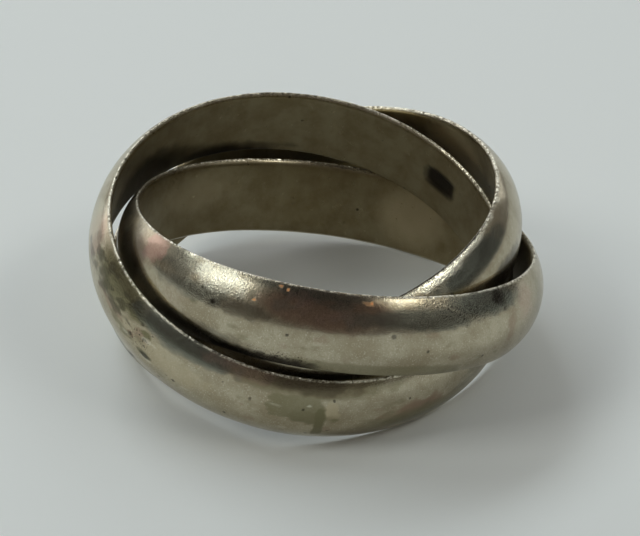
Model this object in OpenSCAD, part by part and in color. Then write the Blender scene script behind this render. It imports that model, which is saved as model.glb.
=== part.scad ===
// Wedding ring of three plain bands linked through one another, lying on its side on a flat surface.
// Each band is flat inside and domed outside. The three are alike, and every one passes through the other two.
// The origin is on the surface, under the middle of the ring. Sizes are in millimetres, +Z is up.

/* [Bands] */
// Inside diameter of each band
band_inner_d = 19; // [18.7:0.1:19.1]
// Width of each band, from rim to rim
band_w = 3.9; // [3.4:0.1:4]
// Thickness of each band at the crown of its dome
band_t = 0.9; // [0.7:0.05:1]
// Thickness of each band at its two rims
rim_t = 0.2; // [0.15:0.05:0.35]

/* [Hallmark place] */
// Length of the bare sunk oblong, along the band
mark_l = 1.8; // [1:0.1:2.5]
// Width of the sunk oblong, across the band
mark_w = 0.8; // [0.4:0.1:1.2]
// Depth of the sunk oblong
mark_depth = 0.1; // [0.05:0.05:0.15]
// Direction of the oblong from the front band's centre, in degrees, anticlockwise from +X
mark_azimuth = 45; // [0:1:359]
// Height of the oblong above the band's middle
mark_rise = 0.1; // [-1:0.1:1]

/* [Quality] */
// Facets of a full circle in the preview
smoothness = 180; // [60:20:240]

/* [Hidden] */
$fn = smoothness;

// How each band lies: its centre, how far it leans, and the direction of its low side from +X, anticlockwise
CENTRE_X = 0;
CENTRE_Y = 1;
LEAN = 2;
LOW_SIDE = 3;
FRONT_LIE = [-0.86, -0.30, 15.5, 305.5];
MIDDLE_LIE = [0.50, -0.39, 14.9, 63];
BACK_LIE = [-0.44, 0.69, 14.9, 185.5];
LIES = [FRONT_LIE, MIDDLE_LIE, BACK_LIE];

inner_r = band_inner_d / 2;
half_w = band_w / 2;
rim_r = inner_r + rim_t;

// The dome is one arc that joins the two rims over the crown
dome_rise = band_t - rim_t;
dome_r = (half_w * half_w + dome_rise * dome_rise) / (2 * dome_rise);
dome_ring_r = inner_r + band_t - dome_r;

// Height of a leaning band's centre when its lowest rim touches the surface
function centre_height(lie) = rim_r * sin(lie[LEAN]) + half_w * cos(lie[LEAN]);

// How far a leaning band reaches from the vertical through zero in one level direction
function reach(lie, azimuth) =
    let (along_axis = sin(lie[LEAN]) * cos(lie[LOW_SIDE] - azimuth))
    lie[CENTRE_X] * cos(azimuth) + lie[CENTRE_Y] * sin(azimuth)
        + dome_ring_r * sqrt(1 - along_axis * along_axis) + dome_r;
function ring_reach(azimuth) = max([for (lie = LIES) reach(lie, azimuth)]);

// The middle of the whole ring, which the origin stands under
ring_middle_x = (ring_reach(0) - ring_reach(180)) / 2;
ring_middle_y = (ring_reach(90) - ring_reach(270)) / 2;

SILVER = [0.62, 0.59, 0.53];
TARNISHED_SILVER = [0.50, 0.47, 0.42];
DULL_SILVER = [0.56, 0.53, 0.47];

// Cross-section of a band, to be turned about its axis: a flat inner wall under a low arc
module band_section() {
    intersection() {
        translate([dome_ring_r, 0]) circle(r = dome_r);
        translate([inner_r, -half_w]) square([band_t, band_w]);
    }
}

module plain_band() {
    rotate_extrude() band_section();
}

// Moves a band from its own frame, where it stands about +Z, to where it lies
module lay(lie) {
    translate([lie[CENTRE_X] - ring_middle_x, lie[CENTRE_Y] - ring_middle_y, centre_height(lie)])
        rotate([0, lie[LEAN], lie[LOW_SIDE]])
            children();
}

// The sunk oblong in the inner wall, where a hallmark would be struck
module hallmark_place() {
    rotate([0, 0, mark_azimuth - FRONT_LIE[LOW_SIDE]])
        translate([inner_r - band_t, -mark_l / 2, mark_rise - mark_w / 2])
            cube([band_t + mark_depth, mark_l, mark_w]);
}

// Lowest across the front, and highest at the back
module front_band() {
    color(DULL_SILVER) lay(FRONT_LIE) difference() {
        plain_band();
        hallmark_place();
    }
}

// Crosses the front above the front band, and reaches furthest to the right
module middle_band() {
    color(SILVER) lay(MIDDLE_LIE) plain_band();
}

// Outermost at the back, and hidden behind the middle band at the front
module back_band() {
    color(TARNISHED_SILVER) lay(BACK_LIE) plain_band();
}

front_band();
middle_band();
back_band();
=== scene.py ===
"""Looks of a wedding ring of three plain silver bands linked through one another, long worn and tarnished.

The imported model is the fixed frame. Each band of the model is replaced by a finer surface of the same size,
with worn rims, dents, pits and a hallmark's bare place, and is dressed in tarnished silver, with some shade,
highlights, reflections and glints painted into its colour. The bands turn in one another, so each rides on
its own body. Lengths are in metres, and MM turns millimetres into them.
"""

import logging
import math
from dataclasses import dataclass
from enum import Enum

import bpy
import numpy as np
from mathutils import Matrix, Vector


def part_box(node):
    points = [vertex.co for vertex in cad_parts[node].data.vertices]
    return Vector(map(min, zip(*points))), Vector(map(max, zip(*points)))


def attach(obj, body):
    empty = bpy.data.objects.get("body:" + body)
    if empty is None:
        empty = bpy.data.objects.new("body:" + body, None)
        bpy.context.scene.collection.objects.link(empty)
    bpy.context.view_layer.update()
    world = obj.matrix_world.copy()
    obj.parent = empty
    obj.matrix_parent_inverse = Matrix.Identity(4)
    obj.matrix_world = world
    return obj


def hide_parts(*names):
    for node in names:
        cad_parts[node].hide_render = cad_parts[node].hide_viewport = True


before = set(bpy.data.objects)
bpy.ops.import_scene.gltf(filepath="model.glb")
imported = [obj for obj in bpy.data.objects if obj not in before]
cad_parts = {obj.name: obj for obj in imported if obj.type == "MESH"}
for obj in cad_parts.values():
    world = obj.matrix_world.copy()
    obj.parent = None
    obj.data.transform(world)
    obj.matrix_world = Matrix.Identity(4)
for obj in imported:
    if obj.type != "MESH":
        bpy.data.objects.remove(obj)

MM = 0.001
MICRON = 0.000001
FULL_TURN = 2 * math.pi
ELLIPSE = 2.0
LOG = logging.getLogger("wedding_ring")
Colour = tuple[float, float, float, float]
Socket = bpy.types.NodeSocket


class Tone(Enum):
    """What a patch looks like. Most tones are tarnish, dirt or wear, and some patches paint shade,
    highlights, reflections and glints. Each value names the mesh attribute that holds its strength.
    """

    BROWN = "brown"
    OLIVE = "olive"
    ROSE = "rose"
    # SOOT_AND_SHADE is near-black dirt, and on some patches painted shade in the gaps between bands.
    SOOT_AND_SHADE = "near_black"
    # COPPER_GLINT spots are painted glints: bright orange silver, made rougher to catch the lamps.
    COPPER_GLINT = "copper_glint"
    TEAL = "teal"
    # PALE and BRIGHT are paler silver; on some patches they are painted highlights and painted light.
    PALE = "pale"
    BRIGHT = "bright"
    PEPPER = "pepper"
    HAZE = "haze"


class Side(Enum):
    """The two faces of a band. Each value names the part of the section that it covers."""

    OUTSIDE = "outer"
    INSIDE = "inner"


@dataclass(frozen=True)
class Patch:
    """A blotch on a band, with a soft and ragged edge. Most are stains; some are painted shade, painted
    highlights, painted reflections and painted glints.

    turn is the angle round the band from its low side, in degrees, and height is up from the band's middle.
    length runs along the band and width across it, both from edge to edge. boxy is 2 for an ellipse, and
    more for an oblong. soft is half the breadth of the faded edge, and ragged is how far the edge wanders.
    """

    tone: Tone
    turn: float
    height: float
    length: float
    width: float
    strength: float
    soft: float
    ragged: float
    boxy: float = ELLIPSE
    side: Side = Side.OUTSIDE


@dataclass(frozen=True)
class Dent:
    """A shallow hollow in a band's outside, sized as a stain is, and depth deep."""

    turn: float
    height: float
    length: float
    width: float
    depth: float


@dataclass(frozen=True)
class HallmarkPlace:
    """The bare sunk oblong in an inner wall, where a hallmark would be struck."""

    turn: float
    height: float = 0.1 * MM
    length: float = 1.8 * MM
    width: float = 0.8 * MM
    depth: float = 0.08 * MM
    bevel: float = 0.09 * MM


@dataclass(frozen=True)
class Lie:
    """How a band lies: how far its axis leans from upright, and the direction of its low side from +X."""

    lean: float
    low_side: float

    def axes(self) -> np.ndarray:
        """Returns the band's own axes as rows: to its low side, a quarter turn on, and its own axis."""
        lean = math.radians(self.lean)
        low = math.radians(self.low_side)
        axis = np.array([math.sin(lean) * math.cos(low), math.sin(lean) * math.sin(low), math.cos(lean)])
        down = np.array([math.cos(lean) * math.cos(low), math.cos(lean) * math.sin(low), -math.sin(lean)])
        return np.stack([down, np.cross(axis, down), axis])


@dataclass(frozen=True)
class Outline:
    """A band's closed cross-section as arrays, one value for each line of the grid.

    reach is the distance from the axis and height the height above the band's middle. out and up are the
    outward normal. outer is 1 on the dome and the rims, inner on the rest, film on the flat of the inner
    wall, and rim near a rim.
    """

    reach: np.ndarray
    height: np.ndarray
    out: np.ndarray
    up: np.ndarray
    outer: np.ndarray
    inner: np.ndarray
    film: np.ndarray
    rim: np.ndarray


@dataclass(frozen=True)
class BandSection:
    """Sizes of a band's cross-section: flat inside, one low arc outside, two narrow rims worn round.

    inner_from, film_from and film_full are cosines of the normal's slope, which is 1 straight out and -1
    towards the axis: where the inner side begins, and where its film begins and is full.
    """

    inner_radius: float = 9.5 * MM
    width: float = 3.9 * MM
    thickness: float = 0.9 * MM
    rim: float = 0.2 * MM
    outer_wear: float = 0.06 * MM
    inner_wear: float = 0.03 * MM
    upper_lip: float = 52
    lower_lip: float = 80
    rim_band: float = 0.05 * MM
    dome_lines: int = 55
    inner_lines: int = 13
    wear_lines: int = 4
    lip_lines: int = 6
    inner_from: float = -0.3
    film_from: float = -0.78
    film_full: float = -0.96

    def outline(self, mark: HallmarkPlace | None) -> Outline:
        """Works out the section, with lines of the grid on the edges of the hallmark's place.

        The dome is an arc of a circle through both rims and the crown. The lower rim is a mirror image of
        an upper one, with its own lip.

        Args:
            mark: the hallmark's place in this band's inner wall, or None.

        Returns:
            The closed outline, anticlockwise from the lower end of the dome.
        """
        half = self.width / 2
        rise = self.thickness - self.rim
        arc = (half * half + rise * rise) / (2 * rise)
        middle = self.inner_radius + self.thickness - arc
        bend = middle + math.sqrt((arc - self.outer_wear) ** 2 - (half - self.outer_wear) ** 2)
        start = math.atan2(half - self.outer_wear, bend - middle)

        swing = np.linspace(-start, start, self.dome_lines)
        dome = np.stack([middle + arc * np.cos(swing), arc * np.sin(swing), swing])
        over, top = self._rim_lines(bend, start, math.radians(self.upper_lip))
        under, bottom = self._rim_lines(bend, start, math.radians(self.lower_lip))
        under = under[:, ::-1] * np.array([[1.0], [-1.0], [-1.0]])
        up_wall = self._wall_heights(top, -bottom, mark)
        wall = np.stack([np.full_like(up_wall, self.inner_radius), up_wall, np.full_like(up_wall, math.pi)])
        reach, height, slope = np.concatenate([dome, over, wall, under], axis=1)
        facing = np.cos(slope)
        return Outline(
            reach=reach,
            height=height,
            out=facing,
            up=np.sin(slope),
            outer=(facing > self.inner_from).astype(float),
            inner=(facing <= self.inner_from).astype(float),
            film=smooth_step(self.film_from, self.film_full, facing),
            rim=np.exp(-((half - height) / self.rim_band) ** 2),
        )

    def _rim_lines(self, bend: float, start: float, lip: float) -> tuple[np.ndarray, float]:
        """Works out a worn rim, from the end of the dome to the inner wall.

        A small circle rounds the dome into the rim. A smaller arc and then a wider one, the lip, round the
        rim into the inner wall: together they reach from the wall to the end of the first circle.

        Args:
            bend: distance of the first circle's middle from the axis.
            start: slope of the normal where the dome ends.
            lip: turn of the normal over the lip.

        Returns:
            The reach, height and slope of each line as rows, and the height where the lip meets the wall.
        """
        half = self.width / 2
        outer = self.outer_wear
        inner = self.inner_wear
        swing = np.linspace(start, math.pi / 2, self.wear_lines + 1)[1:]
        crest = np.stack([bend + outer * np.cos(swing), half - outer + outer * np.sin(swing), swing])
        swing = np.linspace(math.pi / 2, math.pi - lip, self.wear_lines)
        edge = np.stack([bend + inner * np.cos(swing), half - inner + inner * np.sin(swing), swing])
        radius = (bend - self.inner_radius - inner * math.cos(lip)) / (1 - math.cos(lip))
        swing = np.linspace(math.pi - lip, math.pi, self.lip_lines + 1)[1:]
        middle = half - inner + (inner - radius) * math.sin(lip)
        reach = self.inner_radius + radius * (1 + np.cos(swing))
        curve = np.stack([reach, middle + radius * np.sin(swing), swing])
        return np.concatenate([crest, edge[:, 1:], curve], axis=1), middle

    def _wall_heights(self, top: float, bottom: float, mark: HallmarkPlace | None) -> np.ndarray:
        """Returns the heights of the inner wall's lines from top to bottom, without the ends."""
        heights = np.linspace(top, bottom, self.inner_lines)[1:-1]
        if mark is None:
            return heights
        edges = []
        for side in (-1, 1):
            edge = mark.height + side * mark.width / 2
            edges += [edge - mark.bevel, edge - mark.bevel / 2, edge]
            edges += [edge + mark.bevel / 2, edge + mark.bevel]
        clear = np.min(np.abs(heights[:, None] - np.array(edges)[None, :]), axis=1) > mark.bevel
        return np.sort(np.concatenate([heights[clear], edges]))[::-1]


def smooth_step(low: float, high: float, value: np.ndarray) -> np.ndarray:
    """Returns 0 where value is below low, 1 where it is above high, and a smooth rise between them."""
    share = np.clip((value - low) / (high - low), 0, 1)
    return share * share * (3 - 2 * share)


@dataclass(frozen=True)
class Waves:
    """Random waves that close round a band.

    count is how many there are and finest the most of them round the band. scale is a distance along the
    axis over which a middling one changes, and fading says how much weaker the finest are.
    """

    count: int
    finest: int
    scale: float
    fading: float = 3


def wander(turn: np.ndarray, height: np.ndarray, seed: int, waves: Waves) -> np.ndarray:
    """Sums random waves that close round the band.

    Each wave is the cosine of a whole number times the turn plus a random number times the height, plus a
    random phase, and the shorter it is, the weaker it is.

    Args:
        turn: angles round the band.
        height: heights over the band's middle.
        seed: seed of the random draws.
        waves: the waves.

    Returns:
        The sum, with a spread of about 1.
    """
    draw = np.random.default_rng(seed)
    total = np.zeros(np.broadcast(turn, height).shape)
    power = 0.0
    for _ in range(waves.count):
        count = int(draw.integers(-waves.finest, waves.finest + 1))
        across = draw.normal() / waves.scale
        weight = 1 / (1 + waves.fading * abs(count) / waves.finest)
        total += weight * np.cos(count * turn + across * height + draw.uniform(0, FULL_TURN))
        power += weight * weight / 2
    return total / math.sqrt(power)


@dataclass(frozen=True)
class Noise:
    """Fractal noise: how fine it is, how many finer layers it has, and how strongly they show."""

    scale: float
    detail: float
    rough: float = 0.55


@dataclass(frozen=True)
class Ramp:
    """A smooth change from bottom to top while a value goes from low to high."""

    low: float
    high: float
    bottom: float = 0.0
    top: float = 1.0


class Graph:
    """A short way to write a tree of shader nodes."""

    def __init__(self, tree: bpy.types.NodeTree) -> None:
        """Empties the tree and keeps it."""
        tree.nodes.clear()
        self.tree = tree

    def add(self, kind: str, inputs: dict | None = None, **settings) -> bpy.types.Node:
        """Adds a node.

        Args:
            kind: the node's type without its ShaderNode prefix.
            inputs: sockets by name or number, each with a value or with a socket to link from.
            settings: properties of the node.

        Returns:
            The node.
        """
        node = self.tree.nodes.new("ShaderNode" + kind)
        for name, value in settings.items():
            setattr(node, name, value)
        for name, value in (inputs or {}).items():
            if isinstance(value, bpy.types.NodeSocket):
                self.tree.links.new(value, node.inputs[name])
            else:
                node.inputs[name].default_value = value
        return node

    def noise(self, place: Socket, noise: Noise) -> Socket:
        """Adds fractal noise at a place and returns its value."""
        inputs = {"Vector": place, "Scale": noise.scale, "Detail": noise.detail, "Roughness": noise.rough}
        return self.add("TexNoise", inputs).outputs["Fac"]

    def rise(self, value: Socket, ramp: Ramp) -> Socket:
        """Returns the ramp's height at a value."""
        inputs = {
            "Value": value,
            "From Min": ramp.low,
            "From Max": ramp.high,
            "To Min": ramp.bottom,
            "To Max": ramp.top,
        }
        return self.add("MapRange", inputs, interpolation_type="SMOOTHSTEP").outputs["Result"]

    def maths(self, what: str, one: object, two: object) -> Socket:
        """Returns the result of a sum, product or other operation on two values, kept from 0 to 1."""
        return self.add("Math", {0: one, 1: two}, operation=what, use_clamp=True).outputs[0]

    def blend(self, share: object, one: object, two: object) -> Socket:
        """Returns colour one where share is 0, colour two where it is 1, and a mixture between."""
        return self.add("Mix", {0: share, 6: one, 7: two}, data_type="RGBA", clamp_factor=True).outputs[2]

    def attribute(self, name: str) -> Socket:
        """Returns the value of a mesh attribute."""
        return self.add("Attribute", attribute_name=name).outputs["Fac"]

    def with_marks(self, value: Socket, marks: tuple[tuple[str, float], ...]) -> Socket:
        """Returns a value plus some mesh attributes, each times its own weight."""
        for name, weight in marks:
            value = self.maths("ADD", value, self.maths("MULTIPLY", self.attribute(name), weight))
        return value


@dataclass(frozen=True)
class SilverFinish:
    """Old silver that was polished by wear and has yellowed and darkened since.

    Colours are linear. The noises are the patterns that the looks are made of, and each ramp says where one
    of them shows and how strongly. The relief values are heights of the scratches, grain and pits.
    """

    clean: Colour = (0.53, 0.478, 0.355, 1)
    dull: Colour = (0.38, 0.325, 0.222, 1)
    worn_rim: Colour = (0.94, 0.89, 0.74, 1)
    film: Colour = (0.33, 0.282, 0.17, 1)
    dark_film: Colour = (0.24, 0.19, 0.10, 1)
    near_black: Colour = (0.035, 0.028, 0.02, 1)
    # The tones' colours; some patches of them are painted shade, painted highlights, painted reflections and
    # painted glints.
    tones: tuple[tuple[Tone, Colour], ...] = (
        (Tone.PALE, (0.56, 0.48, 0.32, 1)),
        (Tone.BROWN, (0.33, 0.23, 0.16, 1)),
        (Tone.OLIVE, (0.23, 0.21, 0.12, 1)),
        (Tone.TEAL, (0.18, 0.19, 0.155, 1)),
        (Tone.ROSE, (0.50, 0.34, 0.27, 1)),
        (Tone.BRIGHT, (0.88, 0.85, 0.69, 1)),
        (Tone.SOOT_AND_SHADE, (0.035, 0.028, 0.02, 1)),
        (Tone.COPPER_GLINT, (1.0, 0.55, 0.26, 1)),
    )
    noises: tuple[tuple[str, Noise], ...] = (
        ("cloud", Noise(0.42, 3)),
        ("drift", Noise(0.9, 4, 0.6)),
        ("mottle", Noise(2.6, 5, 0.62)),
        ("grain", Noise(11.0, 3, 0.6)),
        ("speck", Noise(17.0, 1, 0.5)),
        ("fray", Noise(5.2, 5, 0.65)),
        ("nick", Noise(11.0, 1, 0.5)),
        ("dust", Noise(110.0, 0, 0.5)),
        ("dots", Noise(5.5, 1, 0.5)),
    )
    scratches: Noise = Noise(1.7, 4, 0.62)
    squeeze: tuple[float, float, float] = (0.35, 0.35, 7.0)
    dull_clouds: Ramp = Ramp(0.36, 0.66)
    dull_mottle: Ramp = Ramp(0.48, 0.72, 0.0, 0.55)
    film_grain: Ramp = Ramp(0.50, 0.68, 0.0, 0.40)
    bright_specks: Ramp = Ramp(0.60, 0.72, 0.0, 0.45)
    wall_drift: Ramp = Ramp(0.30, 0.70)
    wall_share: float = 0.92
    patch_reach: Ramp = Ramp(0.25, 0.70)
    patch_fray: float = 0.5
    bare_rim: Ramp = Ramp(0.40, 0.58, 0.25, 1.0)
    darkened_rim: Ramp = Ramp(0.2, 0.9, 1.0, 0.0)
    rim_dirt: Ramp = Ramp(0.36, 0.44, 0.55, 0.0)
    pit_cells: float = 1.35
    pit_edge: Ramp = Ramp(0.15, 0.20, 1.0, 0.0)
    pit_fray: float = 0.16
    pit_choice: Ramp = Ramp(0.74, 0.76)
    pit_dark: float = 0.7
    pepper_specks: Ramp = Ramp(0.80, 0.86)
    pepper_crowd: float = 0.36
    pepper_dark: float = 0.85
    polish: Ramp = Ramp(0.30, 0.75, 0.12, 0.20)
    speck_rough: Ramp = Ramp(0.50, 0.62, 0.0, 0.05)
    dust_rough: Ramp = Ramp(0.58, 0.62, 0.0, 0.34)
    marks_rough: tuple[tuple[str, float], ...] = (
        (Tone.SOOT_AND_SHADE.value, 0.06),
        (Tone.COPPER_GLINT.value, 0.40),
        (Tone.HAZE.value, 0.12),
        ("rim", 0.04),
        ("film", 0.15),
    )
    nicked: tuple[tuple[str, float], ...] = ((Tone.PEPPER.value, 0.3), (Tone.HAZE.value, 0.16))
    nick_reach: Ramp = Ramp(0.40, 0.62)
    scratch_height: float = 1.3 * MICRON
    grain_height: float = 1.4 * MICRON
    pit_depth: float = 14 * MICRON
    nick_height: float = 28 * MICRON

    def material(self, name: str, middle: np.ndarray, axes: np.ndarray) -> bpy.types.Material:
        """Builds the material of one band.

        Every pattern is a function of the place in the band's own axes, in millimetres. Scratches are noise
        that is squeezed along the axis, so they run round the band and close there.

        Args:
            name: the material's name.
            middle: the band's middle.
            axes: the band's own axes as rows.

        Returns:
            The material.
        """
        material = bpy.data.materials.new(name)
        material.use_nodes = True
        graph = Graph(material.node_tree)
        placing = {
            "Vector": graph.add("TexCoord").outputs["Object"],
            "Location": Vector(middle.tolist()),
            "Rotation": Matrix(axes.tolist()).transposed().to_euler(),
            "Scale": (MM, MM, MM),
        }
        place = graph.add("Mapping", placing, vector_type="TEXTURE").outputs[0]
        along = graph.add("Mapping", {"Vector": place, "Scale": self.squeeze}).outputs[0]
        seen = {key: graph.noise(place, noise) for key, noise in self.noises}
        seen["lines"] = graph.noise(along, self.scratches)
        seen["pit"] = self._pits(graph, place, seen["grain"])
        looks = {
            "Base Color": self._colour(graph, seen),
            "Metallic": 1.0,
            "Roughness": self._roughness(graph, seen),
            "Normal": self._normal(graph, seen),
        }
        shader = graph.add("BsdfPrincipled", looks)
        graph.add("OutputMaterial", {"Surface": shader.outputs[0]})
        return material

    def _pits(self, graph: Graph, place: Socket, grain: Socket) -> Socket:
        """Returns 1 in small pits, each in a randomly chosen cell of a random pattern, and 0 elsewhere."""
        cells = graph.add("TexVoronoi", {"Vector": place, "Scale": self.pit_cells, "Randomness": 1.0})
        fray = graph.maths("MULTIPLY", grain, self.pit_fray)
        pit = graph.rise(graph.maths("ADD", cells.outputs["Distance"], fray), self.pit_edge)
        return graph.maths("MULTIPLY", pit, graph.rise(cells.outputs["Color"], self.pit_choice))

    def _colour(self, graph: Graph, seen: dict[str, Socket]) -> Socket:
        """Mixes the clouded silver, the inner wall's film, the patches of stain and painted light, the rims,
        the pits and the specks.

        Args:
            graph: the material's graph.
            seen: the patterns by name.

        Returns:
            The colour.
        """
        rim = graph.attribute("rim")
        colour = graph.blend(graph.rise(seen["cloud"], self.dull_clouds), self.clean, self.dull)
        colour = graph.blend(graph.rise(seen["mottle"], self.dull_mottle), colour, self.dull)
        colour = graph.blend(graph.rise(seen["grain"], self.film_grain), colour, self.film)
        colour = graph.blend(graph.rise(seen["speck"], self.bright_specks), colour, self.worn_rim)
        wall = graph.blend(graph.rise(seen["drift"], self.wall_drift), self.film, self.dark_film)
        film = graph.maths("MULTIPLY", graph.attribute("film"), self.wall_share)
        colour = graph.blend(film, colour, wall)
        # Each tone's patches, stains and painted light alike, are mixed over the colour.
        for tone, tint in self.tones:
            strength = graph.attribute(tone.value)
            reach = graph.maths("ADD", strength, graph.maths("MULTIPLY", seen["fray"], self.patch_fray))
            share = graph.maths("MULTIPLY", strength, graph.rise(reach, self.patch_reach))
            colour = graph.blend(share, colour, tint)
        bare = graph.maths("MULTIPLY", rim, graph.rise(seen["dots"], self.bare_rim))
        clear = graph.rise(graph.attribute(Tone.SOOT_AND_SHADE.value), self.darkened_rim)
        colour = graph.blend(graph.maths("MULTIPLY", bare, clear), colour, self.worn_rim)
        dirt = graph.maths("MULTIPLY", rim, graph.rise(seen["dots"], self.rim_dirt))
        colour = graph.blend(dirt, colour, self.near_black)
        colour = graph.blend(graph.maths("MULTIPLY", seen["pit"], self.pit_dark), colour, self.near_black)
        crowd = graph.maths("MULTIPLY", graph.attribute(Tone.PEPPER.value), self.pepper_crowd)
        black = graph.rise(graph.maths("ADD", seen["grain"], crowd), self.pepper_specks)
        return graph.blend(graph.maths("MULTIPLY", black, self.pepper_dark), colour, self.near_black)

    def _roughness(self, graph: Graph, seen: dict[str, Socket]) -> Socket:
        """Returns the roughness: the uneven polish, and what specks, dust and some marks add to it."""
        rough = graph.rise(seen["mottle"], self.polish)
        rough = graph.maths("ADD", rough, graph.rise(seen["speck"], self.speck_rough))
        rough = graph.maths("ADD", rough, graph.rise(seen["dust"], self.dust_rough))
        return graph.with_marks(rough, self.marks_rough)

    def _normal(self, graph: Graph, seen: dict[str, Socket]) -> Socket:
        """Returns the normal, bent by scratches, grain, nicks where the silver is worn, and pits."""
        worn = graph.with_marks(graph.attribute("rim"), self.nicked)
        nicks = graph.maths("MULTIPLY", worn, graph.rise(seen["nick"], self.nick_reach))
        scratches = {"Height": seen["lines"], "Distance": self.scratch_height, "Strength": 1.0}
        normal = graph.add("Bump", scratches).outputs[0]
        for height, distance in ((seen["grain"], self.grain_height), (nicks, self.nick_height)):
            normal = graph.add("Bump", {"Height": height, "Distance": distance, "Normal": normal}).outputs[0]
        pits = {"Height": seen["pit"], "Distance": self.pit_depth, "Normal": normal}
        return graph.add("Bump", pits, invert=True).outputs[0]


@dataclass
class Band:
    """One band of the ring: its place, its sizes, the marks that wear and time left on it, and patches of
    painted shade and light.
    """

    node: str
    lie: Lie
    seed: int
    patches: list[Patch]
    dents: list[Dent]
    mark: HallmarkPlace | None = None
    section: BandSection = BandSection()
    columns: int = 980
    unevenness: float = 6 * MICRON
    rim_wear: float = 6 * MICRON
    rim_shine: float = 0.9
    slow_waves: Waves = Waves(26, 22, 1.6 * MM)
    rim_waves: Waves = Waves(60, 260, 1.0 * MM)
    edge_waves: Waves = Waves(70, 110, 0.12 * MM)

    def middle(self) -> np.ndarray:
        """Returns the band's middle, which is also the middle of its box in the frame."""
        low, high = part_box(self.node)
        return (np.array(low) + np.array(high)) / 2

    def spot(self, turn: np.ndarray, height: np.ndarray, mark: Patch | Dent, boxy: float) -> np.ndarray:
        """Returns how far each point lies from a mark's middle, as a share of the way to the mark's edge.

        The two distances, round the band and across it, are each divided by half the mark's size, and their
        powers are summed, so a power of 2 gives an ellipse and a high one an oblong.
        """
        round_way = (turn - math.radians(mark.turn) + math.pi) % FULL_TURN - math.pi
        along = np.abs(round_way) * (self.section.inner_radius + self.section.thickness) / (mark.length / 2)
        across = np.abs(height - mark.height) / (mark.width / 2)
        return (along ** boxy + across ** boxy) ** (1 / boxy)

    def relief(self, turn: np.ndarray, line: Outline) -> np.ndarray:
        """Works out how far each point of the grid stands proud of the plain band.

        Slow waves make the surface uneven, each dent is a smooth bowl, short waves nibble at the rims, and
        the hallmark's place is a sunk oblong with bevelled sides.

        Args:
            turn: angles round the band, as a column.
            line: the section.

        Returns:
            The relief, with a row for each angle and a column for each line of the section.
        """
        height = line.height[None, :]
        relief = self.unevenness * wander(turn, height, self.seed, self.slow_waves)
        for dent in self.dents:
            bowl = np.clip(1 - self.spot(turn, height, dent, ELLIPSE) ** 2, 0, None) ** 2
            relief = relief - dent.depth * bowl * line.outer
        nibble = wander(turn, height, self.seed + 1, self.rim_waves)
        relief = relief - self.rim_wear * line.rim * np.clip(nibble, 0, None)
        if self.mark is not None:
            sunk = self.sunk_place(turn, height)
            relief = relief - self.mark.depth * sunk * line.inner
        return relief

    def sunk_place(self, turn: np.ndarray, height: np.ndarray) -> np.ndarray:
        """Returns 1 inside the hallmark's place, 0 outside it, and a slope over its bevel."""
        mark = self.mark
        round_way = (turn - math.radians(mark.turn) + math.pi) % FULL_TURN - math.pi
        along = np.abs(round_way) * self.section.inner_radius - mark.length / 2
        across = np.abs(height - mark.height) - mark.width / 2
        return smooth_step(mark.bevel, -mark.bevel, np.maximum(along, across))

    def patch_values(self, turn: np.ndarray, line: Outline) -> dict[str, np.ndarray]:
        """Works out the strength of every tone over the grid: 1 in a patch, fading over its ragged edge.

        Args:
            turn: angles round the band, as a column.
            line: the section.

        Returns:
            An array for each tone, by the name of its attribute.
        """
        height = line.height[None, :]
        ragged = wander(turn, height, self.seed + 2, self.edge_waves)
        values = {tone.value: np.zeros((len(turn), len(line.height))) for tone in Tone}
        sides = {Side.OUTSIDE: line.outer, Side.INSIDE: line.inner}
        for patch in self.patches:
            past = (self.spot(turn, height, patch, patch.boxy) - 1) * min(patch.length, patch.width) / 2
            fill = smooth_step(patch.soft, -patch.soft, past + patch.ragged * ragged / 2)
            fill = patch.strength * fill * sides[patch.side]
            values[patch.tone.value] = np.maximum(values[patch.tone.value], fill)
        return values

    def build(self, finish: SilverFinish) -> bpy.types.Object:
        """Makes the band's mesh, its section carried round its axis, dresses it and ties it to the frame.

        A point is the band's middle, plus its reach in the direction of its angle, plus its height along
        the axis, plus the relief along the section's normal.

        Args:
            finish: the silver.

        Returns:
            The finished piece.
        """
        line = self.section.outline(self.mark)
        turn = np.linspace(0, FULL_TURN, self.columns, endpoint=False)[:, None]
        relief = self.relief(turn, line)
        reach = line.reach[None, :] + relief * line.out[None, :]
        height = line.height[None, :] + relief * line.up[None, :]
        axes = self.lie.axes()
        middle = self.middle()
        local = np.stack([reach * np.cos(turn), reach * np.sin(turn), height], axis=-1)
        points = local.reshape(-1, 3) @ axes + middle

        lines = len(line.height)
        index = np.arange(self.columns * lines).reshape(self.columns, lines)
        ahead = np.roll(index, -1, axis=0)
        quads = np.stack([index, ahead, np.roll(ahead, -1, axis=1), np.roll(index, -1, axis=1)], axis=-1)
        mesh = bpy.data.meshes.new(self.node + "_worn")
        mesh.from_pydata(points, [], quads.reshape(-1, 4))
        mesh.shade_smooth()

        values = self.patch_values(turn, line)
        values["film"] = np.broadcast_to(line.film, index.shape)
        values["rim"] = np.broadcast_to(line.rim * self.rim_shine, index.shape)
        for name, value in values.items():
            layer = mesh.attributes.new(name, "FLOAT", "POINT")
            layer.data.foreach_set("value", value.astype(np.float32).ravel())
        mesh.materials.append(finish.material(self.node + "_silver", middle, axes))

        piece = bpy.data.objects.new(self.node + "_worn", mesh)
        bpy.context.scene.collection.objects.link(piece)
        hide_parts(self.node)
        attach(piece, self.node)
        faces = len(mesh.polygons)
        LOG.info("%s: %d faces, %d stains, %d dents", piece.name, faces, len(self.patches), len(self.dents))
        return piece


@dataclass(frozen=True)
class Stretch:
    """A stretch of a band's outside, from one angle to another, half_width above and below middle.

    The angles are in degrees, and the second may be over a full turn.
    """

    first: float
    last: float
    middle: float = 0.0
    half_width: float = 1.6 * MM


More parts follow.
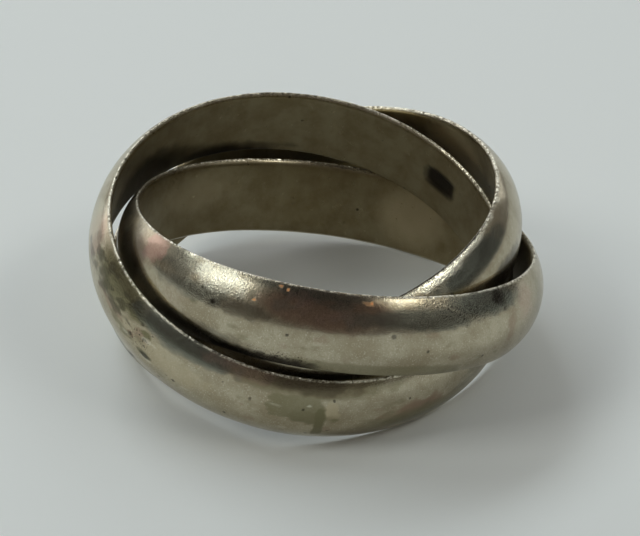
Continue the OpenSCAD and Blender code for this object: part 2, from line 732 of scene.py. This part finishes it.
@dataclass(frozen=True)
class Tarnish:
    """Marks of one tone that lie scattered over a stretch of a band.

    Sizes vary by spread about length and width, and factors is the range of a further random factor on the
    width and on the strength.
    """

    tone: Tone
    count: int
    length: float
    width: float
    strength: float
    soft: float
    spread: float = 0.5
    factors: tuple[float, float] = (0.7, 1.2)

    def patches(self, draw: np.random.Generator, over: Stretch) -> list[Patch]:
        """Draws the marks over a stretch and returns them."""
        marks = []
        for _ in range(self.count):
            size = 1 + self.spread * draw.uniform(-1, 1)
            marks.append(
                Patch(
                    self.tone,
                    turn=draw.uniform(over.first, over.last),
                    height=over.middle + draw.uniform(-over.half_width, over.half_width),
                    length=self.length * size,
                    width=self.width * size * draw.uniform(*self.factors),
                    strength=self.strength * draw.uniform(*self.factors),
                    soft=self.soft,
                    ragged=self.soft,
                )
            )
        return marks


def scattered(kinds: tuple[Tarnish, ...], seed: int, over: Stretch) -> list[Patch]:
    """Draws marks of several kinds over a stretch of a band, from a seed, and returns them."""
    draw = np.random.default_rng(seed)
    return [mark for kind in kinds for mark in kind.patches(draw, over)]


def blotch(
    tone: Tone,
    turn: float,
    height: float,
    length: float,
    width: float,
    strength: float,
    boxy: float = ELLIPSE,
    soft: float = 0.1,
    ragged: float = 0.1,
    side: Side = Side.OUTSIDE,
) -> Patch:
    """Returns a patch whose height, length, width, soft and ragged are given in millimetres."""
    sizes = [height * MM, length * MM, width * MM]
    return Patch(tone, turn, *sizes, strength, soft * MM, ragged * MM, boxy, side)


def hollow(turn: float, height: float, length: float, width: float, depth: float) -> Dent:
    """Returns a dent whose depth is given in thousandths of a millimetre, and the rest in millimetres."""
    return Dent(turn, height * MM, length * MM, width * MM, depth * MICRON)


UNSEEN_TARNISH = (
    Tarnish(Tone.OLIVE, count=6, length=3.6 * MM, width=1.4 * MM, strength=0.45, soft=0.32 * MM),
    Tarnish(Tone.BROWN, count=6, length=3.0 * MM, width=1.2 * MM, strength=0.45, soft=0.34 * MM),
    Tarnish(Tone.TEAL, count=7, length=4.6 * MM, width=1.1 * MM, strength=0.5, soft=0.26 * MM),
    Tarnish(Tone.ROSE, count=2, length=1.8 * MM, width=1.2 * MM, strength=0.3, soft=0.30 * MM),
    Tarnish(Tone.BRIGHT, count=3, length=2.2 * MM, width=0.8 * MM, strength=0.3, soft=0.34 * MM),
    Tarnish(Tone.PEPPER, count=4, length=4.0 * MM, width=1.4 * MM, strength=0.55, soft=0.30 * MM),
    Tarnish(Tone.SOOT_AND_SHADE, count=12, length=0.18 * MM, width=0.15 * MM, strength=0.75, soft=0.04 * MM),
    Tarnish(Tone.SOOT_AND_SHADE, count=2, length=0.8 * MM, width=0.34 * MM, strength=0.6, soft=0.08 * MM),
)
FAINT_BLOTCHES = (
    Tarnish(Tone.OLIVE, count=16, length=0.55 * MM, width=0.30 * MM, strength=0.42, soft=0.08 * MM),
    Tarnish(Tone.BROWN, count=8, length=0.60 * MM, width=0.34 * MM, strength=0.35, soft=0.10 * MM),
    Tarnish(Tone.BRIGHT, count=14, length=0.42 * MM, width=0.13 * MM, strength=0.3, soft=0.07 * MM),
    Tarnish(Tone.SOOT_AND_SHADE, count=4, length=0.10 * MM, width=0.09 * MM, strength=0.6, soft=0.03 * MM),
)
# A row gives the tone, the turn in degrees, the height, length and width in millimetres, and the strength.
FRONT_PATCHES = [
    blotch(Tone.OLIVE, 324.6, 0.62, 2.9, 1.55, 0.75, boxy=3, ragged=0.16),
    blotch(Tone.OLIVE, 327.5, 0.05, 2.1, 0.8, 0.85, ragged=0.12),
    blotch(Tone.OLIVE, 331.2, -0.3, 0.5, 2.0, 1.0, boxy=5, soft=0.05, ragged=0.05),
    blotch(Tone.BRIGHT, 325.2, 0.86, 0.16, 0.08, 0.6, soft=0.03, ragged=0.04),
    blotch(Tone.BRIGHT, 327.9, 0.78, 0.12, 0.07, 0.5, soft=0.03, ragged=0.04),
    blotch(Tone.SOOT_AND_SHADE, 326.4, 0.55, 0.09, 0.08, 0.9, soft=0.03, ragged=0.02),
    blotch(Tone.PALE, 333.6, 0.55, 0.8, 1.1, 0.7),
    blotch(Tone.SOOT_AND_SHADE, 316.5, 1.94, 5.6, 0.18, 0.45, boxy=4, soft=0.03, ragged=0.02),
    blotch(Tone.BRIGHT, 338.5, 1.94, 2.4, 0.08, 1.0, soft=0.02, ragged=0.02),
    # Painted reflection of shade: olive and near-black patches darken the lower right of the outside.
    blotch(Tone.OLIVE, 3, -0.65, 7.0, 1.2, 0.85, soft=0.4),
    blotch(Tone.SOOT_AND_SHADE, 4, -0.85, 7.0, 0.8, 0.35, soft=0.35),
    blotch(Tone.SOOT_AND_SHADE, 315, 1.4, 15.0, 1.6, 0.75, soft=0.5, side=Side.INSIDE),
    blotch(Tone.BROWN, 359.2, 0.08, 3.2, 0.9, 0.85, soft=0.25, ragged=0.2),
    blotch(Tone.BROWN, 308, 1.74, 5.2, 0.9, 0.9, soft=0.15),
    blotch(Tone.ROSE, 309, 1.75, 3.8, 0.7, 0.35, soft=0.15, ragged=0.15),
    blotch(Tone.SOOT_AND_SHADE, 322, 1.6, 2.2, 0.7, 0.35, soft=0.15),
    blotch(Tone.BROWN, 328, 1.75, 5.4, 1.05, 0.85, soft=0.2),
    blotch(Tone.SOOT_AND_SHADE, 328, 1.75, 5.0, 1.0, 0.5, soft=0.25),
    blotch(Tone.BRIGHT, 237, 1.0, 2.6, 2.2, 0.4, soft=0.5, ragged=0.2),
    blotch(Tone.ROSE, 242, 1.1, 2.4, 1.8, 0.5, soft=0.4, ragged=0.2),
    blotch(Tone.SOOT_AND_SHADE, 244.9, 1.3, 0.9, 0.4, 0.35, boxy=5, ragged=0.06),
    blotch(Tone.OLIVE, 264, 1.4, 5.6, 1.7, 1.0, soft=0.28, ragged=0.2),
    blotch(Tone.SOOT_AND_SHADE, 272, 1.5, 1.6, 0.6, 0.45, soft=0.12, ragged=0.3),
    blotch(Tone.BROWN, 266, 0.3, 1.8, 0.5, 0.6, soft=0.12, ragged=0.3),
    blotch(Tone.OLIVE, 270, 0.0, 1.6, 0.5, 0.7, soft=0.12, ragged=0.3),
    blotch(Tone.SOOT_AND_SHADE, 246, 0.4, 1.0, 0.5, 0.35, soft=0.12, ragged=0.25),
    blotch(Tone.OLIVE, 327, 1.65, 9.5, 1.15, 0.65, soft=0.2),
    blotch(Tone.SOOT_AND_SHADE, 257, 0.9, 2.0, 1.0, 0.45, soft=0.3, ragged=0.2),
    blotch(Tone.SOOT_AND_SHADE, 280, 1.6, 6.0, 0.9, 0.25, soft=0.25, ragged=0.15),
    blotch(Tone.SOOT_AND_SHADE, 262, 0.55, 4.4, 0.34, 0.5, soft=0.12, ragged=0.2),
    blotch(Tone.BROWN, 274.8, 0.15, 0.46, 0.34, 1.0, soft=0.04, ragged=0.08),
    blotch(Tone.SOOT_AND_SHADE, 274.8, 0.18, 0.24, 0.18, 0.7, soft=0.05, ragged=0.08),
    blotch(Tone.SOOT_AND_SHADE, 273.4, 0.55, 0.12, 0.12, 0.7, soft=0.04, ragged=0.05),
    blotch(Tone.SOOT_AND_SHADE, 276.6, 0.62, 0.18, 0.16, 0.7, soft=0.05, ragged=0.08),
    blotch(Tone.SOOT_AND_SHADE, 277.8, 1.1, 0.22, 0.16, 0.6, soft=0.05, ragged=0.08),
    blotch(Tone.OLIVE, 279.7, 0.84, 0.85, 0.42, 1.0, soft=0.04, ragged=0.12),
    blotch(Tone.SOOT_AND_SHADE, 279.5, 0.92, 0.5, 0.18, 0.5, soft=0.06, ragged=0.12),
    blotch(Tone.SOOT_AND_SHADE, 281.9, 0.98, 0.14, 0.12, 0.7, soft=0.04, ragged=0.05),
    blotch(Tone.BROWN, 278.6, 0.6, 1.1, 0.7, 0.6, soft=0.12, ragged=0.15),
    blotch(Tone.BRIGHT, 281.4, 0.55, 0.9, 0.28, 0.4, soft=0.08, ragged=0.15),
    blotch(Tone.OLIVE, 280.9, -0.3, 0.85, 0.36, 1.0, soft=0.04),
    blotch(Tone.SOOT_AND_SHADE, 281.0, -0.32, 0.55, 0.18, 0.8, soft=0.05, ragged=0.08),
    blotch(Tone.BRIGHT, 281.6, -0.52, 0.7, 0.18, 0.4, soft=0.06),
    blotch(Tone.SOOT_AND_SHADE, 291.2, -0.6, 0.16, 0.12, 0.9, soft=0.04, ragged=0.04),
    blotch(Tone.SOOT_AND_SHADE, 252, 1.2, 1.2, 0.5, 0.5, soft=0.12, ragged=0.25),
    blotch(Tone.SOOT_AND_SHADE, 268, 0.9, 1.8, 0.5, 0.5, ragged=0.25),
    blotch(Tone.SOOT_AND_SHADE, 258, 1.6, 1.4, 0.5, 0.5, soft=0.12, ragged=0.25),
    blotch(Tone.SOOT_AND_SHADE, 304.6, 0.9, 0.13, 0.16, 0.9, soft=0.04, ragged=0.03),
    blotch(Tone.SOOT_AND_SHADE, 312.5, 0.55, 0.11, 0.14, 0.7, soft=0.04, ragged=0.03),
    blotch(Tone.SOOT_AND_SHADE, 306.6, -1.05, 0.15, 0.18, 0.9, soft=0.04, ragged=0.03),
    blotch(Tone.TEAL, 290, 1.6, 6.4, 1.2, 0.9, soft=0.2),
    blotch(Tone.PALE, 283, 0.1, 7.0, 1.6, 0.5, soft=0.5, ragged=0.2),
    blotch(Tone.PEPPER, 266, 1.2, 7.0, 1.4, 0.5, soft=0.5, ragged=0.3),
    blotch(Tone.PEPPER, 278, 0.3, 2.2, 1.8, 0.62, soft=0.4, ragged=0.3),
    # Painted shade: two near-black patches darken the lower inner wall where it faces the dark gap over the
    # middle band's rim.
    blotch(Tone.SOOT_AND_SHADE, 205, -1.2, 7.0, 2.8, 0.9, soft=0.7, side=Side.INSIDE),
    blotch(Tone.SOOT_AND_SHADE, 172, -1.7, 7.0, 0.9, 0.9, soft=0.4, side=Side.INSIDE),
    blotch(Tone.SOOT_AND_SHADE, 99.5, 0.1, 2.3, 1.2, 1.0, boxy=3, soft=0.2, ragged=0.04, side=Side.INSIDE),
]
FRONT_DENTS = [
    hollow(280, 0.9, 1.2, 1.1, 14),
    hollow(281, -0.3, 0.8, 0.5, 16),
    hollow(265, 1.2, 2.2, 1.2, 14),
    hollow(291, -0.6, 0.8, 0.6, 10),
    hollow(318, 0.6, 2.6, 1.4, 8),
    hollow(352, 0.4, 2.8, 1.4, 10),
]
MIDDLE_PATCHES = [
    blotch(Tone.ROSE, 149, 1.5, 1.7, 1.3, 0.8, soft=0.2, ragged=0.2),
    blotch(Tone.BROWN, 147, 1.2, 2.6, 1.6, 0.3, soft=0.4),
    blotch(Tone.SOOT_AND_SHADE, 138, 0.5, 3.4, 2.4, 0.6, soft=0.6),
    blotch(Tone.BROWN, 144, 1.0, 2.0, 1.6, 0.5, soft=0.4),
    blotch(Tone.HAZE, 174, 1.3, 4.2, 1.5, 0.9, soft=0.4, ragged=0.2),
    # Painted highlight: paler silver under the left lamp's highlight makes it brighter.
    blotch(Tone.BRIGHT, 175, 1.4, 2.8, 1.0, 0.65, soft=0.4, ragged=0.2),
    blotch(Tone.PALE, 165, 1.75, 2.4, 0.5, 0.2, soft=0.2, ragged=0.2),
    blotch(Tone.TEAL, 161, 1.45, 3.0, 1.3, 0.55, soft=0.3, ragged=0.15),
    blotch(Tone.SOOT_AND_SHADE, 172.0, 0.7, 0.24, 0.1, 0.8, soft=0.05),
    blotch(Tone.SOOT_AND_SHADE, 174.2, 0.4, 0.24, 0.16, 0.95, soft=0.05),
    # Painted reflection: a near-black patch darkens the dome below the highlight, where it mirrors the dim
    # room.
    blotch(Tone.SOOT_AND_SHADE, 182, 0.4, 3.4, 0.9, 0.45, soft=0.2, ragged=0.12),
    # Painted glints: small bright orange spots that catch the lamps.
    blotch(Tone.COPPER_GLINT, 185.6, 1.0, 0.15, 0.08, 1.0, soft=0.02, ragged=0.05),
    blotch(Tone.COPPER_GLINT, 191.8, 1.79, 0.24, 0.12, 1.0, soft=0.03, ragged=0.08),
    blotch(Tone.COPPER_GLINT, 193.8, 1.72, 0.12, 0.08, 1.0, soft=0.02, ragged=0.03),
    blotch(Tone.COPPER_GLINT, 216.3, 1.65, 0.16, 0.08, 1.0, soft=0.02, ragged=0.05),
    blotch(Tone.COPPER_GLINT, 215.3, 1.6, 0.5, 0.16, 0.4, soft=0.06),
    # Painted reflection: a broad brown patch stands for the dim brown room that the upper dome mirrors.
    blotch(Tone.BROWN, 205, 1.15, 6.4, 1.8, 1.0, soft=0.25),
    blotch(Tone.ROSE, 198, 1.3, 1.0, 0.5, 0.4, soft=0.2, ragged=0.3),
    blotch(Tone.ROSE, 208, 1.0, 1.6, 0.6, 0.35, soft=0.2, ragged=0.3),
    blotch(Tone.TEAL, 207, 1.35, 1.4, 0.5, 0.5, soft=0.2, ragged=0.3),
    blotch(Tone.TEAL, 195, 1.1, 0.8, 0.4, 0.4, soft=0.2, ragged=0.3),
    blotch(Tone.TEAL, 203, 1.75, 6.5, 0.45, 0.6, soft=0.15, ragged=0.15),
    blotch(Tone.TEAL, 215, 0.9, 2.6, 0.9, 0.6, soft=0.3, ragged=0.2),
    blotch(Tone.TEAL, 231, 1.0, 6.4, 1.05, 0.7, soft=0.14),
    blotch(Tone.SOOT_AND_SHADE, 234, 0.95, 6.8, 0.95, 0.28, soft=0.14),
    blotch(Tone.PALE, 228.2, 1.8, 1.1, 0.28, 0.9, soft=0.08),
    blotch(Tone.SOOT_AND_SHADE, 206, 1.2, 5.4, 1.5, 0.28, soft=0.4, ragged=0.2),
    blotch(Tone.SOOT_AND_SHADE, 195.6, -0.25, 0.14, 0.12, 0.9, soft=0.04, ragged=0.03),
    blotch(Tone.SOOT_AND_SHADE, 222.6, 0.25, 0.26, 0.26, 0.6, soft=0.05, ragged=0.03),
    blotch(Tone.SOOT_AND_SHADE, 232.8, -0.5, 0.12, 0.14, 0.8, soft=0.04, ragged=0.03),
    blotch(Tone.SOOT_AND_SHADE, 256.8, 1.5, 1.0, 0.7, 0.95, soft=0.2, ragged=0.12),
    blotch(Tone.SOOT_AND_SHADE, 258.4, 1.0, 0.3, 0.26, 0.6, soft=0.08, ragged=0.12),
    blotch(Tone.BROWN, 262.4, 0.0, 0.8, 2.0, 0.5, soft=0.2),
    blotch(Tone.TEAL, 252, 1.5, 5.2, 1.2, 0.9, soft=0.25, ragged=0.08),
    blotch(Tone.SOOT_AND_SHADE, 254, 1.3, 4.0, 1.2, 0.25, soft=0.25),
    blotch(Tone.PEPPER, 236, 1.6, 1.6, 0.6, 0.7, soft=0.15),
    blotch(Tone.PEPPER, 243, 1.3, 7.0, 1.2, 0.7, soft=0.4, ragged=0.2),
    blotch(Tone.PEPPER, 174, 1.0, 3.4, 1.4, 0.55, soft=0.4, ragged=0.2),
    blotch(Tone.PEPPER, 194, -1.55, 4.0, 0.9, 0.75, soft=0.3),
    blotch(Tone.ROSE, 270, 0.9, 1.8, 2.0, 0.4, soft=0.5, ragged=0.2),
    blotch(Tone.OLIVE, 281, 0.8, 1.8, 2.6, 0.4, soft=0.5, ragged=0.2),
    blotch(Tone.OLIVE, 220, -1.7, 10.0, 0.8, 0.6, boxy=4, soft=0.12, ragged=0.04),
    # Painted shade with some grime: near-black patches along the lower edge, beside the dark gap at the front
    # band's rim.
    blotch(Tone.SOOT_AND_SHADE, 188, -1.9, 6.0, 0.9, 0.95, boxy=3, soft=0.15),
    blotch(Tone.SOOT_AND_SHADE, 160, -1.6, 8.0, 1.5, 0.75, soft=0.55),
    # Painted reflection: a dark grey-green patch below the highlight stands for the dim room mirrored there.
    blotch(Tone.TEAL, 167, 0.6, 4.8, 0.85, 0.65, soft=0.25),
    blotch(Tone.BROWN, 161, -0.1, 2.2, 1.2, 0.3, soft=0.4),
    # Painted light: pale patches brighten the inner wall, where light bounces between the bands.
    blotch(Tone.PALE, 0, 0.0, 4.0, 3.0, 0.8, soft=0.8, side=Side.INSIDE),
    blotch(Tone.PALE, 74, 0.4, 5.0, 2.0, 0.6, soft=0.8, side=Side.INSIDE),
    blotch(Tone.SOOT_AND_SHADE, 312, 0.4, 7.0, 3.4, 0.8, soft=0.7, side=Side.INSIDE),
]
MIDDLE_DENTS = [
    hollow(185.6, 1.0, 0.5, 0.4, 8),
    hollow(174, 0.5, 0.9, 0.6, 10),
    hollow(222.6, 0.25, 0.5, 0.5, 12),
    hollow(232, 1.2, 1.4, 1.0, 9),
    hollow(246, 1.4, 1.6, 1.0, 10),
    hollow(258, 1.3, 0.8, 0.8, 14),
    hollow(203, 1.2, 2.2, 1.0, 7),
]
BACK_PATCHES = [
    blotch(Tone.SOOT_AND_SHADE, 131, 1.99, 8.4, 0.12, 1.0, boxy=6, soft=0.02, ragged=0.01),
    # Painted highlight: paler silver along the rim makes the right lamps' streak brighter.
    blotch(Tone.BRIGHT, 134, 1.85, 7.6, 0.24, 1.0, soft=0.06, ragged=0.05),
    blotch(Tone.BRIGHT, 128, 1.74, 3.4, 0.36, 0.9, soft=0.08, ragged=0.06),
    blotch(Tone.PEPPER, 128, 1.55, 3.4, 0.5, 0.62, soft=0.15),
    blotch(Tone.TEAL, 140, 1.25, 6.0, 1.05, 0.95, soft=0.2, ragged=0.06),
    blotch(Tone.SOOT_AND_SHADE, 138.5, 1.46, 5.0, 0.7, 0.36, soft=0.15),
    blotch(Tone.OLIVE, 130, 1.0, 1.8, 0.6, 0.5, soft=0.3),
    blotch(Tone.OLIVE, 178, 1.7, 5.0, 1.0, 0.25, soft=0.4),
    # Painted light: a pale patch brightens the inner wall, where light bounces between the bands.
    blotch(Tone.PALE, 213, 0.0, 5.0, 3.4, 0.9, soft=0.7, side=Side.INSIDE),
    blotch(Tone.SOOT_AND_SHADE, 149, -0.95, 5.0, 2.1, 0.9, soft=0.45),
]
BACK_DENTS = [
    hollow(133, 1.2, 1.6, 1.0, 10),
    hollow(146, 1.4, 1.2, 1.0, 7),
]


class WeddingRing:
    """The three linked bands, each with its own marks."""

    def __init__(self) -> None:
        """Lists the bands."""
        self.finish = SilverFinish()
        self.front = Band(
            "front_band",
            Lie(lean=15.5, low_side=305.5),
            seed=11,
            patches=self.front_patches(),
            dents=FRONT_DENTS,
            mark=HallmarkPlace(turn=99.5),
            section=BandSection(outer_wear=0.09 * MM),
        )
        self.middle = Band(
            "middle_band",
            Lie(lean=14.9, low_side=63),
            seed=23,
            patches=self.middle_patches(),
            dents=MIDDLE_DENTS,
        )
        self.back = Band(
            "back_band",
            Lie(lean=14.9, low_side=185.5),
            seed=37,
            patches=self.back_patches(),
            dents=BACK_DENTS,
            section=BandSection(outer_wear=0.10 * MM, inner_wear=0.06 * MM, upper_lip=65),
        )

    def front_patches(self) -> list[Patch]:
        """Returns the front band's patches: the photograph's, with painted shade and a painted reflection
        among them, faint ones among them, and unseen ones.
        """
        seen = Stretch(first=272, last=352, middle=-0.1 * MM, half_width=0.9 * MM)
        unseen = Stretch(first=22, last=222)
        faint = scattered(FAINT_BLOTCHES, seed=61, over=seen)
        return FRONT_PATCHES + faint + scattered(UNSEEN_TARNISH, seed=71, over=unseen)

    def middle_patches(self) -> list[Patch]:
        """Returns the middle band's patches, in the same order. The listed ones hold painted shade, a painted
        highlight, painted reflections and painted light on the inner wall.
        """
        seen = Stretch(first=168, last=272, middle=-0.5 * MM, half_width=0.9 * MM)
        unseen = Stretch(first=300, last=488)
        faint = scattered(FAINT_BLOTCHES, seed=67, over=seen)
        return MIDDLE_PATCHES + faint + scattered(UNSEEN_TARNISH, seed=83, over=unseen)

    def back_patches(self) -> list[Patch]:
        """Returns the back band's patches: those of the photograph, with a painted highlight and painted
        light on the inner wall among them, and unseen ones.
        """
        return BACK_PATCHES + scattered(UNSEEN_TARNISH, seed=97, over=Stretch(first=198, last=470))

    def build(self) -> list[bpy.types.Object]:
        """Builds and returns the three pieces."""
        return [band.build(self.finish) for band in (self.front, self.middle, self.back)]


@dataclass(frozen=True)
class Lamp:
    """A soft rectangular lamp that faces the ring.

    toward is its azimuth and elevation from the ring, and fills is how wide and high it looks from there,
    all in degrees. radiance is how bright it looks.
    """

    name: str
    toward: tuple[float, float]
    fills: tuple[float, float]
    radiance: float
    colour: tuple[float, float, float] = (0.92, 1, 1)
    distance: float = 900 * MM

    def build(self, target: Vector) -> bpy.types.Object:
        """Makes the lamp.

        Args:
            target: the point that it faces.

        Returns:
            The lamp's object.
        """
        azimuth, elevation = (math.radians(angle) for angle in self.toward)
        wide, high = (2 * self.distance * math.tan(math.radians(angle / 2)) for angle in self.fills)
        level = math.cos(elevation)
        away = Vector((level * math.cos(azimuth), level * math.sin(azimuth), math.sin(elevation)))
        light = bpy.data.lights.new(self.name, "AREA")
        light.shape = "RECTANGLE"
        light.size = wide
        light.size_y = high
        light.energy = self.radiance * math.pi * light.size * light.size_y
        light.color = self.colour
        lamp = bpy.data.objects.new(self.name, light)
        lamp.location = target + away * self.distance
        lamp.rotation_euler = away.to_track_quat("Z", "Y").to_euler()
        bpy.context.scene.collection.objects.link(lamp)
        return lamp


@dataclass
class Studio:
    """A pale floor, soft lamps, dim surroundings and the camera at the photograph's angle."""

    floor_half: float = 4.0
    floor_colour: Colour = (0.885, 0.912, 0.89, 1)
    floor_roughness: float = 0.7
    surroundings: Colour = (0.145, 0.136, 0.127, 1)
    darker_above: Ramp = Ramp(0.55, 0.85, 1.0, 0.3)
    target: tuple[float, float, float] = (0.161 * MM, -0.246 * MM, 3.745 * MM)
    camera_elevation: float = 32.63
    camera_distance: float = 150 * MM
    camera_roll: float = -1.41
    lens: float = 173.2
    lamps: tuple[Lamp, ...] = (
        Lamp("left_lamp", toward=(198, 42), fills=(20, 22), radiance=4.25, colour=(0.97, 1, 0.97)),
        Lamp("left_window", toward=(136, 48), fills=(48, 16), radiance=4.1, colour=(0.90, 0.98, 1.02)),
        Lamp("right_lamp", toward=(327, 47), fills=(14, 18), radiance=1.1, colour=(1, 0.97, 0.85)),
        Lamp("right_window", toward=(348, 48.5), fills=(24, 10.5), radiance=3.6, colour=(0.98, 1, 0.98)),
        Lamp("right_middle", toward=(12, 45.5), fills=(20, 10), radiance=2.0, colour=(0.94, 1, 1.0)),
        Lamp("right_far", toward=(31, 40), fills=(13, 18), radiance=1.4, colour=(0.90, 1, 1.04)),
        Lamp("back_wall", toward=(98, 20), fills=(100, 28), radiance=1.05, colour=(0.96, 1, 1.03)),
        Lamp("left_wall", toward=(150, 14), fills=(24, 28), radiance=0.42, colour=(1, 0.96, 0.93)),
        Lamp("right_wall", toward=(340, 24), fills=(50, 14), radiance=0.22),
    )

    def build(self) -> None:
        """Makes the floor, the lamps, the surroundings and the camera."""
        self.build_floor()
        for lamp in self.lamps:
            lamp.build(Vector(self.target))
        self.build_surroundings()
        self.build_camera()
        bpy.context.scene.view_settings.view_transform = "Standard"
        LOG.info("studio: %d lamps", len(self.lamps))

    def build_floor(self) -> bpy.types.Object:
        """Makes the floor as a flat square in the plane that the ring rests on, and returns it."""
        half = self.floor_half
        mesh = bpy.data.meshes.new("floor")
        points = [(-half, -half, 0), (half, -half, 0), (half, half, 0), (-half, half, 0)]
        mesh.from_pydata(points, [], [(0, 1, 2, 3)])
        material = bpy.data.materials.new("pale_floor")
        material.use_nodes = True
        graph = Graph(material.node_tree)
        looks = {"Base Color": self.floor_colour, "Roughness": self.floor_roughness}
        shader = graph.add("BsdfPrincipled", looks)
        graph.add("OutputMaterial", {"Surface": shader.outputs[0]})
        mesh.materials.append(material)
        floor = bpy.data.objects.new("floor", mesh)
        bpy.context.scene.collection.objects.link(floor)
        return floor

    def build_surroundings(self) -> bpy.types.World:
        """Makes the dim, warm surroundings that the lamps stand in, and returns them."""
        world = bpy.data.worlds.new("dim_room")
        world.use_nodes = True
        graph = Graph(world.node_tree)
        height = graph.add("SeparateXYZ", {0: graph.add("TexCoord").outputs["Generated"]}).outputs["Z"]
        looks = {"Color": self.surroundings, "Strength": graph.rise(height, self.darker_above)}
        background = graph.add("Background", looks)
        graph.add("OutputWorld", {"Surface": background.outputs[0]})
        bpy.context.scene.world = world
        return world

    def build_camera(self) -> bpy.types.Object:
        """Makes the camera, which looks along +Y and down at the ring, rolled a little, and returns it."""
        elevation = math.radians(self.camera_elevation)
        roll = math.radians(self.camera_roll)
        back = Vector((0, -math.cos(elevation), math.sin(elevation)))
        right = Vector((1, 0, 0))
        up = back.cross(right)
        rolled_right = right * math.cos(roll) - up * math.sin(roll)
        rolled_up = right * math.sin(roll) + up * math.cos(roll)
        camera = bpy.data.cameras.new("camera")
        camera.lens = self.lens
        camera.clip_start = 1 * MM
        holder = bpy.data.objects.new("camera", camera)
        turned = Matrix((rolled_right, rolled_up, back)).transposed().to_4x4()
        holder.matrix_world = Matrix.Translation(Vector(self.target) + back * self.camera_distance) @ turned
        bpy.context.scene.collection.objects.link(holder)
        bpy.context.scene.camera = holder
        return holder


def main() -> None:
    """Builds the ring and its studio."""
    logging.basicConfig(level=logging.INFO, format="%(message)s")
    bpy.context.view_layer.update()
    WeddingRing().build()
    Studio().build()


if __name__ == "__main__":
    main()
